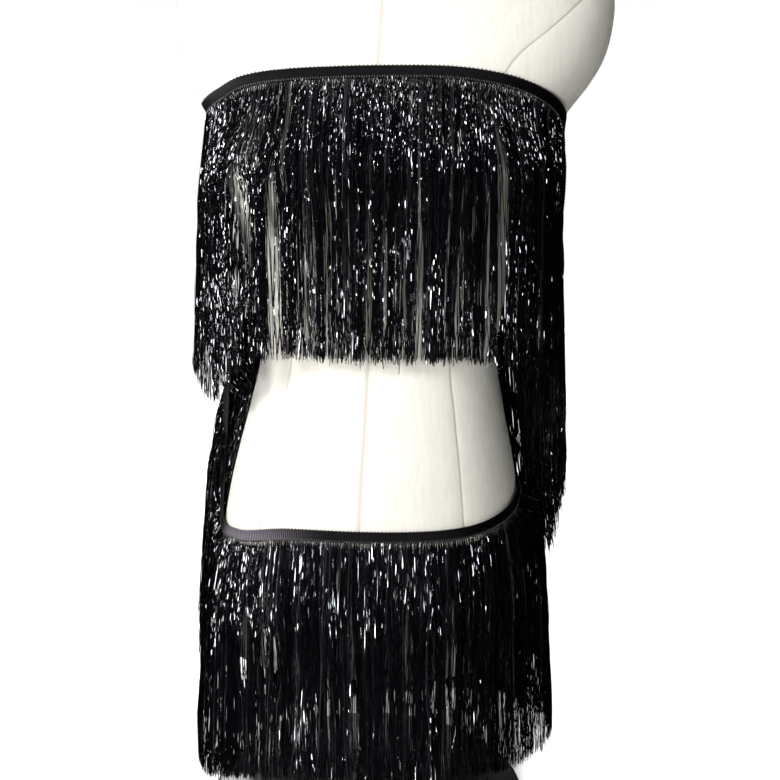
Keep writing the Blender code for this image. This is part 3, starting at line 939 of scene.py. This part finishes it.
# How the strands hang along the trim, by the turn of the tape that they hang from:
# how thickly, how far locks draw together by their tips, how far the strands drift
# sideways to +turn, how deep their layers are (inwards where it is below 0), how long
# they are, how closely their film is creased, and how far it leans up at the top of the
# strand and at its tip.
DENSITY, GATHER, DRIFT, DEPTH, CUT, CRIMP, TOP_LEAN, TIP_LEAN = range(1, 9)
HANG = np.array((
    (-247.0, 1.00, 0.20, 0.000, 0.004, 1.000, 1.0, 0.10, 0.00),
    (-130.0, 1.00, 0.20, 0.000, 0.004, 1.000, 0.9, 0.10, 0.00),
    (-100.0, 1.20, 0.15, 0.000, 0.003, 0.990, 0.7, 0.10, 0.20),
    (-86.0, 1.30, 0.15, -0.002, 0.003, 1.000, 0.7, 0.10, 0.36),
    (-72.0, 1.30, 0.15, -0.010, 0.004, 1.020, 0.7, 0.12, 0.38),
    (-61.0, 1.20, 0.15, -0.016, 0.004, 1.070, 0.8, 0.15, 0.34),
    (-52.0, 1.25, 0.15, -0.018, 0.004, 1.130, 0.9, 0.32, 0.26),
    (-46.0, 1.25, 0.15, -0.018, 0.003, 1.130, 0.9, 0.42, 0.12),
    (-38.0, 0.95, 0.15, -0.016, 0.003, 1.090, 1.0, 0.45, 0.05),
    (-26.0, 0.95, 0.15, -0.004, 0.003, 0.995, 1.0, 0.38, 0.00),
    (-8.0, 1.20, 0.12, 0.000, 0.003, 1.000, 1.0, 0.15, -0.04),
    (12.0, 1.25, 0.10, 0.001, 0.003, 1.000, 1.0, 0.44, -0.04),
    (22.0, 1.25, 0.10, 0.003, 0.003, 0.985, 1.0, 0.44, -0.06),
    (28.0, 0.95, 0.10, 0.006, 0.003, 0.985, 1.0, 0.38, -0.08),
    (34.0, 1.15, 0.12, 0.009, 0.003, 0.975, 1.0, 0.22, -0.08),
    (50.0, 1.20, 0.15, 0.008, 0.003, 0.985, 1.0, 0.00, -0.10),
    (70.0, 1.30, 0.15, 0.002, 0.002, 1.000, 1.0, -0.20, -0.10),
    (88.0, 1.60, 0.05, 0.000, -0.006, 1.000, 1.0, -0.25, -0.20),
    (104.0, 1.70, 0.00, 0.000, -0.030, 1.000, 1.0, -0.30, -0.30),
    (130.0, 1.70, 0.00, 0.000, -0.026, 1.000, 1.0, -0.30, -0.30),
    (170.0, 1.50, 0.05, 0.000, 0.004, 1.000, 1.0, 0.10, 0.00),
    (210.0, 1.60, 0.05, 0.000, 0.004, 1.000, 1.0, 0.10, 0.00),
    (234.0, 1.70, 0.00, 0.022, -0.030, 1.000, 0.8, 0.25, 0.25),
    (250.0, 1.90, 0.00, 0.040, -0.034, 1.000, 0.7, 0.42, 0.32),
    (264.0, 2.00, 0.00, 0.040, -0.024, 1.000, 0.7, 0.30, 0.10),
    (276.0, 2.20, 0.00, 0.000, 0.003, 1.020, 0.7, 0.10, -0.40),
    (286.0, 2.20, 0.00, -0.012, 0.003, 1.080, 0.7, 0.00, -0.50),
    (298.0, 2.20, 0.00, -0.008, 0.003, 1.060, 0.6, 0.05, -0.50),
    (312.0, 2.00, 0.01, -0.003, 0.003, 1.010, 0.4, 0.22, -0.50),
    (335.0, 1.40, 0.08, 0.000, 0.003, 1.000, 0.25, 0.16, 0.02),
    (370.0, 1.40, 0.08, 0.000, 0.003, 1.000, 0.25, 0.13, 0.04),
    (400.0, 1.45, 0.06, 0.002, 0.003, 1.000, 0.3, 0.10, 0.00),
    (420.0, 1.90, 0.00, 0.004, 0.003, 1.040, 0.7, -0.20, -0.30),
    (450.0, 1.70, 0.00, 0.004, 0.003, 1.060, 0.9, -0.30, -0.30),
    (520.0, 1.50, 0.05, 0.000, 0.006, 1.000, 1.0, 0.10, 0.00),
    (606.0, 1.50, 0.05, 0.000, 0.006, 1.000, 1.0, 0.10, 0.00),
))

# Gaps that open between two locks: the turn of the tape above, how far down they
# start and end, and how wide they are.
PARTINGS = (
    (-33.5, 0.26, 0.80, 0.046),
    (-28.0, 0.30, 1.50, 0.003),
    (-22.3, 0.28, 1.50, 0.015),
    (-15.3, 0.38, 1.50, 0.007),
    (-10.2, 0.40, 1.50, 0.004),
    (-7.5, 0.66, 1.50, 0.002),
    (4.5, 0.46, 1.50, 0.002),
    (28.0, 0.12, 1.50, 0.008),
    (317.5, 0.24, 0.66, 0.016),
    (321.0, 0.30, 0.66, 0.008),
    (325.5, 0.32, 0.70, 0.018),
    (331.0, 0.36, 0.70, 0.010),
    (339.5, 0.40, 0.70, 0.007),
    (374.5, 0.18, 0.70, 0.004),
    (379.5, 0.14, 0.40, 0.005),
    (383.7, 0.26, 0.75, 0.006),
    (392.0, 0.20, 0.75, 0.007),
    (399.2, 0.50, 0.80, 0.003),
    (403.0, 0.52, 0.80, 0.003),
    (415.2, 0.50, 0.80, 0.003),
)

# The pieces that the fringe is built in, with the turns where each starts and ends.
FRINGE_SECTIONS = (
    ("strands_upper_back", FIRST_TURN, -112.0),
    ("strands_upper_side", -112.0, -30.0),
    ("strands_upper_front", -30.0, 96.0),
    ("strands_waist_back", 96.0, 226.0),
    ("strands_lower_side", 226.0, 318.0),
    ("strands_lower_front", 318.0, 432.0),
    ("strands_lower_back", 432.0, LAST_TURN),
)


def hanging_curtain(tape_height, tape_thickness, length):
    """The surface that the strands hang on: points for each turn of the route and each
    step down, and the level directions outwards."""
    turns = ROUTE_TURNS
    middle, upward, outward = tape_frame(turns)
    hang_off = table_value(TRIM_ROUTE, HANG_OFF, turns)
    flare = table_value(TRIM_ROUTE, FLARE, turns)
    top = middle - upward * (tape_height / 2.0 - ROOT_RISE)
    level_out = body_point(turns, top[:, 2])[1]
    step = length / FALL_STEPS
    points = [top, top - upward * step * 2]
    start = points[1]
    pushed = np.zeros(len(turns))
    height = start[:, 2].copy()
    for _ in range(FALL_STEPS - 1):
        # A strand's length is walked, so it falls less where it goes out.
        reached = (body_point(turns, height - step, hang_off)[0] - start)
        needed = np.einsum("ij,ij->i", reached, level_out)
        nearest = np.minimum(
            np.maximum(needed, pushed + flare * step), pushed + STRAND_STEEPNESS * step)
        out = nearest - pushed
        height = height - np.sqrt(np.maximum(step ** 2 - out ** 2, (0.6 * step) ** 2))
        pushed = nearest
        point = start + level_out * pushed[:, None]
        point[:, 2] = height
        points.append(point)
    # The strands are sewn on the tape's outer face.
    points[0] = top + outward * (tape_thickness + SEWN_OFF)
    points[1] = points[1] + outward * tape_thickness * 0.5
    return np.stack(points, axis=1), level_out


def smooth_noise(dice, count, knots, amount):
    """A smooth random curve down each strand."""
    values = dice.normal(0.0, amount, (count, knots))
    place = SAMPLES * (knots - 1)
    low = np.clip(np.floor(place).astype(int), 0, knots - 2)
    part = smooth_step(place - low)
    return values[:, low] * (1.0 - part) + values[:, low + 1] * part


def lock_shift(lengths, gather):
    """How far each strand's root lies from the middle of its lock, with the lock's own
    lean, and the lock's number; the locks are of uneven width."""
    dice = np.random.default_rng(SEED)
    edges = [0.0]
    while edges[-1] < TRIM_LENGTH:
        edges.append(edges[-1] + dice.uniform(*LOCK_WIDTHS))
    edges = np.array(edges)
    number = np.clip(np.searchsorted(edges, lengths) - 1, 0, len(edges) - 2)
    middle = (edges[number] + edges[number + 1]) / 2.0
    lean = dice.normal(0.0, LOCK_LEAN, len(edges))[number]
    pull = dice.uniform(0.55, 1.25, len(edges))[number] * gather
    lean = lean * np.clip(gather / FULL_GATHER, 0.0, 1.0)
    return (middle - lengths) * pull + lean, number


def bundle_values(roots):
    """Whether each strand's bundle is combed flat, its twist, its tone and its place on
    the film's map."""
    dice = np.random.default_rng(SEED + 1)
    bundle = (roots / BUNDLE_WIDTH).astype(int)
    count = int(TRIM_LENGTH / BUNDLE_WIDTH) + 1
    values = (
        dice.uniform(0.0, 1.0, count) < COMBED, dice.normal(0.0, 0.35, count),
        dice.uniform(0.0, 1.0, count), dice.uniform(0.0, 4.0, count))
    return [value[bundle] for value in values]


def strand_roots(dice, first, last, per_metre):
    """Lengths along the tape of the roots between two turns, denser where the trim is."""
    low, high = length_at(first), length_at(last)
    count = int((high - low) * per_metre * DENSEST)
    lengths = np.sort(dice.uniform(low, high, count))
    density = table_value(HANG, DENSITY, turn_at(lengths))
    return lengths[dice.uniform(0.0, DENSEST, count) < density]


def parting_push(roots):
    """Sideways push of each strand away from the partings, all the way down it."""
    push = np.zeros((len(roots), len(SAMPLES)))
    for turn, start, end, width in PARTINGS:
        aside = roots - length_at(turn)
        near = np.exp(-(aside / PARTING_REACH) ** 2)[:, None]
        opened = smooth_step((SAMPLES - start + 0.03) / 0.16)
        opened = opened * (1.0 - smooth_step((SAMPLES - end + 0.12) / 0.12))
        push += np.sign(aside)[:, None] * near * opened * width / 2.0
    return push


def sample_curtain(grid, turns, rows):
    """Values of a grid over the curtain, between its turns and its steps down."""
    columns = np.clip((turns - FIRST_TURN) / ROUTE_STEP, 0.0, len(ROUTE_TURNS) - 1.001)
    left, above = columns.astype(int), rows.astype(int)
    aside, down = columns - left, rows - above
    if grid.ndim == 3:
        aside, down = aside[..., None], down[..., None]
    upper, lower = (
        grid[left, row] * (1 - aside) + grid[left + 1, row] * aside
        for row in (above, above + 1))
    return upper * (1 - down) + lower * down


def ribbon_mesh(name, points):
    """A mesh of flat ribbons through the points of their edges, and its corners."""
    count, steps = points.shape[:2]
    corner = (np.arange(count) * 2 * steps)[:, None] + 2 * np.arange(steps - 1)
    quads = np.stack((corner, corner + 1, corner + 3, corner + 2), axis=-1)
    corners = quads.astype(np.int32).ravel()
    mesh = bpy.data.meshes.new(name)
    mesh.vertices.add(2 * count * steps)
    mesh.vertices.foreach_set("co", points.astype(np.float32).ravel())
    mesh.loops.add(len(corners))
    mesh.loops.foreach_set("vertex_index", corners)
    mesh.polygons.add(len(corners) // 4)
    mesh.polygons.foreach_set("loop_start", np.arange(0, len(corners), 4, dtype=np.int32))
    mesh.update(calc_edges=True)
    mesh.shade_smooth()
    return mesh, corners


def store_number(mesh, name, values):
    """A number for each vertex, for the material to read."""
    attribute = mesh.attributes.new(name, "FLOAT", "POINT")
    attribute.data.foreach_set("value", values.astype(np.float32).ravel())


def make_strands(name, first, last, settings, material, curtain, level_out):
    """One stretch of the fringe: flat strands, each twisted a little, as one mesh."""
    dice = np.random.default_rng([SEED, int(first) + 1000])
    roots = strand_roots(dice, first, last, settings.strands_per_metre)
    count = len(roots)
    turns = turn_at(roots)
    lower_tier = turns > LOWER_TIER
    gather, drift, depth, length, crimp, top_lean, tip_lean = (
        table_value(HANG, column, turns)
        for column in (GATHER, DRIFT, DEPTH, CUT, CRIMP, TOP_LEAN, TIP_LEAN))

    def normal(spread):
        return dice.normal(0.0, spread, count)

    def uniform(low=0.0, high=1.0):
        return dice.uniform(low, high, count)

    # Each stitch holds a few strands, which spread out below it.
    held = (np.round(roots / settings.rib_pitch - 0.5) + 0.5) * settings.rib_pitch
    held = held + normal(STITCH_SPREAD)
    shift, lock = lock_shift(roots, gather)
    loose = uniform() < LOOSE
    shift = np.where(loose, normal(LOOSE_DRIFT), shift)
    combed, bundle_twist, bundle_tone, bundle_place = bundle_values(roots)
    alike = np.where(combed, 0.3, 1.0)
    drawn = smooth_step(SAMPLES * 1.1) ** 1.1
    swept = smooth_step(SAMPLES * 2.6)
    aside = (held - roots)[:, None] * (1.0 - smooth_step(SAMPLES / ROOT_LENGTH))
    aside += shift[:, None] * drawn + drift[:, None] * swept
    aside += parting_push(roots) * (
        uniform(0.6, 1.1) * np.where(loose, 0.3, 1.0))[:, None]
    aside += smooth_noise(dice, count, 9, WAVER) * swept
    aside += normal(FLICK)[:, None] * smooth_step((SAMPLES - 0.84) / 0.16)

    # Lengths: most strands are cut even, a few hang lower or are short.
    cut = length * (1.0 + normal(UNEVEN_CUT))
    cut -= (uniform() < SHORT) * uniform(0.0, 0.12)
    cut += (uniform() < LONG) * uniform(0.0, 0.09)
    down = SAMPLES * cut[:, None]

    # Level speed along the curtain turns a sideways distance into a turn.
    level = np.linalg.norm(np.gradient(curtain[:, :, :2], ROUTE_STEP, axis=0), axis=2)
    row = np.clip(down * FALL_STEPS, 0.0, FALL_STEPS - 1e-6)
    own = np.repeat(turns[:, None], len(SAMPLES), axis=1)
    speed = np.maximum(sample_curtain(level, own, row), SLOWEST)
    moved = own + np.clip(aside / speed, -FURTHEST_MOVE, FURTHEST_MOVE)
    centre = sample_curtain(curtain, moved, row)
    centre[..., 2] = sample_curtain(curtain[..., 2], own, row)
    centre[..., 2] -= np.maximum(down - 1.0, 0.0) * settings.fringe_length
    index = np.clip((moved - FIRST_TURN) / ROUTE_STEP, 0, len(ROUTE_TURNS) - 1).astype(int)
    outward = level_out[index]

    # Layers stand off the curtain, and all stay clear of the body.
    layer = uniform()
    quick = smooth_step(SAMPLES * np.where(depth < 0.0, 9.0, 3.0)[:, None])
    stand = depth[:, None] * layer[:, None] ** 1.3 * quick
    stand += np.abs(smooth_noise(dice, count, 7, WAVER)) * swept
    swell = smooth_step(SAMPLES / 0.24) * (1.0 - 0.8 * smooth_step((SAMPLES - 0.24) / 0.35))
    front = np.maximum(np.cos(np.radians(turns)), 0.0) ** 2
    stand += PUFF * front[:, None] * swell * (0.5 + 0.5 * layer)[:, None]
    surface = body_point(moved, centre[..., 2])[0]
    clear = np.einsum("ijk,ijk->ij", centre - surface, outward)
    stand = np.maximum(stand, BODY_CLEARANCE - clear)
    centre = centre + outward * stand[..., None]

    # Where a strand hangs free of the body it turns about itself.
    down_way = unit(np.gradient(centre, axis=1))
    across = unit(np.cross(down_way, outward))
    facing = np.cross(across, down_way)
    free = np.where(depth < 0.0, FREE_TWIST, 0.0) * normal(1.0)
    twist = (bundle_twist + alike * normal(0.25) + free)[:, None]
    wave = (0.45 * alike * np.sqrt(crimp))[:, None]
    twist = twist + wave * smooth_noise(dice, count, 8, 1.0) * swept
    half = across * np.cos(twist)[..., None] + facing * np.sin(twist)[..., None]
    width = settings.strand_width * uniform(0.7, 1.2)[:, None] / 2.0
    root = np.where(lower_tier, 0.5, 0.85)[:, None]
    taper = root + (1.0 - root) * smooth_step(SAMPLES / ROOT_LENGTH)
    half = half * (width * taper * (1.0 - 0.25 * SAMPLES))[..., None]
    mesh, corners = ribbon_mesh(name, np.stack((centre - half, centre + half), axis=2))

    tone = 0.65 * bundle_tone + 0.35 * uniform()
    store_number(mesh, "strand_tone", np.repeat(tone, 2 * len(SAMPLES)))
    lock_dice = np.random.default_rng(SEED + 2)
    locks = lock.max() + 1
    lock_noise = smooth_noise(lock_dice, locks, 6, 0.14)[lock]
    reach = np.where(lower_tier, 0.26, 0.10) + normal(0.035)
    reach += lock_dice.normal(0.0, 0.035, locks)[lock]
    at_top = 1.0 - smooth_step((SAMPLES - reach[:, None]) / 0.22)
    at_tip = smooth_step((SAMPLES - 0.50) / 0.3)
    lean = (top_lean[:, None] * at_top + tip_lean[:, None] * at_tip
            + MIDDLE_LEAN * (1.0 - at_top - at_tip)) + lock_noise
    store_number(mesh, "film_lean", np.repeat(lean, 2, axis=1))

    # A map in metres: across the strand and down it, each strand with its own place.
    place = np.where(combed, bundle_place, uniform(0.0, 4.0)) + normal(0.0004)
    creased = crimp * np.where(combed, 0.22, np.exp(normal(0.3)))
    ahead = down * settings.fringe_length * creased[:, None] * (1.0 - 0.35 * SAMPLES)
    chart = np.zeros((count, len(SAMPLES), 2, 2))
    chart[..., 0] = np.stack((-width, width), axis=-1) + place[:, None, None]
    chart[..., 1] = (ahead + normal(0.0010)[:, None])[..., None]
    chart = chart.reshape(-1, 2)[corners].astype(np.float32)
    mesh.uv_layers.new(name="UVMap").data.foreach_set("uv", chart.ravel())
    return place_piece(name, mesh, material, "black_lurex", ["fringe"])


class FRINGE_OT_strands(bpy.types.Operator):
    """Add the metallic strands that hang from the tape"""
    bl_idname = "fringe_form.add_strands"
    bl_label = "Strands"

    def execute(self, context):
        settings = context.scene.fringe_trim
        material = lurex_material(settings.lurex_colour)
        curtain, level_out = hanging_curtain(
            settings.tape_height, settings.tape_thickness, settings.fringe_length)
        pieces = [
            make_strands(name, first, last, settings, material, curtain, level_out)
            for name, first, last in FRINGE_SECTIONS
        ]
        return {"FINISHED"}


# The studio.

STAGE_RADIUS = 6.0
SHADOW_REACH = (0.26, 0.34)    # beyond it the floor turns white
SHADOW_SHAPE = (1.8, 0.6, 1.0)
FLOOR_COLOUR = (0.82, 0.82, 0.81)
CAMERA_DROP = 0.007            # how far the camera is below the trim line
BUST = (0.02, 0.0, 0.62)       # the point that the lamps are aimed at


def stage_piece(name, shape, material, *unseen_by):
    """A piece of the stage, unseen by some kinds of rays."""
    mesh = bare_mesh(shape, name)
    mesh.materials.append(material)
    piece = bpy.data.objects.new(name, mesh)
    bpy.context.scene.collection.objects.link(piece)
    for rays in unseen_by:
        setattr(piece, "visible_" + rays, False)


def add_camera(context, settings):
    height = TRIM_LINE - CAMERA_DROP
    middle = FORM_LEAN * (height - FORM_FOOT) + 0.0005
    data = bpy.data.cameras.new("camera")
    data.lens = settings.camera_lens
    data.sensor_width = 36.0
    camera = bpy.data.objects.new("camera", data)
    camera.location = (
        middle + math.sin(settings.camera_turn) * settings.camera_distance,
        -math.cos(settings.camera_turn) * settings.camera_distance,
        height,
    )
    camera.rotation_euler = (
        math.pi / 2.0 - settings.camera_pitch, 0.0, settings.camera_turn)
    context.scene.collection.objects.link(camera)
    context.scene.camera = camera


def add_floor():
    shape = bmesh.new()
    bmesh.ops.create_circle(shape, cap_ends=True, segments=96, radius=STAGE_RADIUS)
    material, add, shade = new_material("floor_paint", FLOOR_COLOUR, 0.7)
    # Away from the stand the floor is as white as the backdrop that it runs into.
    stretched = add("VectorMath", {
        0: add("TexCoord")["Object"], 1: SHADOW_SHAPE}, operation="MULTIPLY")
    away = add("VectorMath", {0: stretched["Vector"]}, operation="LENGTH")["Value"]
    far = add("MapRange", {
        "Value": away, "From Min": SHADOW_REACH[0], "From Max": SHADOW_REACH[1]},
        interpolation_type="SMOOTHSTEP")["Result"]
    seen = add("LightPath")["Is Camera Ray"]
    glow = add("Math", {0: far, 1: seen}, operation="MULTIPLY")[0]
    shade({"Emission Color": WHITE, "Emission Strength": glow})
    stage_piece("floor", shape, material, "glossy")


def add_backdrop():
    """A wide round wall that only the camera sees, and that lights nothing."""
    shape = bmesh.new()
    bmesh.ops.create_cone(
        shape, cap_ends=True, segments=96, radius1=STAGE_RADIUS,
        radius2=STAGE_RADIUS, depth=2.0 * STAGE_RADIUS)
    bmesh.ops.translate(shape, verts=shape.verts, vec=(0.0, 0.0, 5.9))
    bmesh.ops.reverse_faces(shape, faces=shape.faces)
    material, _, shade = new_material("backdrop_paper", (0.0, 0.0, 0.0), 1.0)
    shade({"Emission Color": WHITE, "Emission Strength": 1.0})
    stage_piece(
        "backdrop", shape, material, "diffuse", "glossy", "shadow", "transmission")


def add_lights(settings):
    # Name, place, size, power, colour, and whether matt and glossy faces see it. The
    # front lamp is beside the camera, so that it reaches the body through the gaps.
    for name, place, size, power, colour, matt, glossy in (
            ("key", (-1.38, -1.68, 1.36), 0.5, settings.key_power,
             (1.0, 0.99, 0.985), True, True),
            ("overhead", (0.34, -1.28, 1.78), 0.56, 24.0,
             (0.88, 0.93, 1.0), False, True),
            ("left", (-1.75, 0.10, 0.80), 0.6, 38.0, (0.95, 0.96, 1.0), False, True),
            ("front", (-0.30, -1.32, 0.78), 0.25, 9.5, (1.0, 0.975, 0.97), True, False),
            ("ceiling", (0.22, -0.25, 2.3), 0.6, 5.0, (1.0, 1.0, 0.97), True, True),
            ("side", (1.5, 1.5, 1.2), 0.5, 4.0, (0.95, 1.0, 0.92), True, True),
            ("behind", (-0.8, 1.9, 1.5), 0.8, 20.0, (1.0, 1.0, 1.0), True, True)):
        data = bpy.data.lights.new(name, "AREA")
        data.shape = "DISK"
        data.size = size
        data.energy = power
        data.color = colour
        light = bpy.data.objects.new(name, data)
        light.location = place
        way = Vector(BUST) - Vector(place)
        light.rotation_euler = way.to_track_quat("-Z", "Y").to_euler()
        light.visible_diffuse = matt
        light.visible_glossy = glossy
        bpy.context.scene.collection.objects.link(light)


def light_room(context, settings):
    world = bpy.data.worlds.new("room")
    context.scene.world = world
    world.use_nodes = True
    # The strands mirror the lamps, not the walls.
    world.cycles_visibility.glossy = False
    set_inputs(world.node_tree, world.node_tree.nodes["Background"], {
        "Color": (1.0, 0.99, 0.91, 1.0), "Strength": settings.room_light})


class FRINGE_OT_studio(bpy.types.Operator):
    """Add the floor, the backdrop, the lights and the camera"""
    bl_idname = "fringe_form.add_studio"
    bl_label = "Studio"

    def execute(self, context):
        settings = context.scene.fringe_studio
        add_camera(context, settings)
        add_floor()
        add_backdrop()
        add_lights(settings)
        light_room(context, settings)
        context.scene.view_settings.view_transform = "Standard"
        return {"FINISHED"}


# The panel and the registration.

OPERATORS = (
    FRINGE_OT_form,
    FRINGE_OT_stand,
    FRINGE_OT_tape,
    FRINGE_OT_stitches,
    FRINGE_OT_strands,
    FRINGE_OT_studio,
)
SETTINGS = {
    "fringe_trim": TrimSettings,
    "fringe_form": FormSettings,
    "fringe_studio": StudioSettings,
}


class FRINGE_PT_sidebar(bpy.types.Panel):
    """The fringe's settings and its pieces"""
    bl_idname = "FRINGE_PT_sidebar"
    bl_label = "Fringe on a form"
    bl_space_type = "VIEW_3D"
    bl_region_type = "UI"
    bl_category = "Fringe"

    def draw(self, context):
        for name, group in SETTINGS.items():
            box = self.layout.box()
            for label in group.__annotations__:
                box.prop(getattr(context.scene, name), label)
        for operator in OPERATORS:
            self.layout.operator(operator.bl_idname)


def register():
    for group in SETTINGS.values():
        bpy.utils.register_class(group)
    for operator in OPERATORS:
        bpy.utils.register_class(operator)
    bpy.utils.register_class(FRINGE_PT_sidebar)
    for name, group in SETTINGS.items():
        setattr(bpy.types.Scene, name, bpy.props.PointerProperty(type=group))


def unregister():
    for name in SETTINGS:
        delattr(bpy.types.Scene, name)
    bpy.utils.unregister_class(FRINGE_PT_sidebar)
    for operator in reversed(OPERATORS):
        bpy.utils.unregister_class(operator)
    for group in reversed(list(SETTINGS.values())):
        bpy.utils.unregister_class(group)


def main():
    register()
    bpy.ops.fringe_form.add_form()
    bpy.ops.fringe_form.add_stand()
    bpy.ops.fringe_form.add_tape()
    bpy.ops.fringe_form.add_stitches()
    bpy.ops.fringe_form.add_strands()
    bpy.ops.fringe_form.add_studio()


if __name__ == "__main__":
    main()
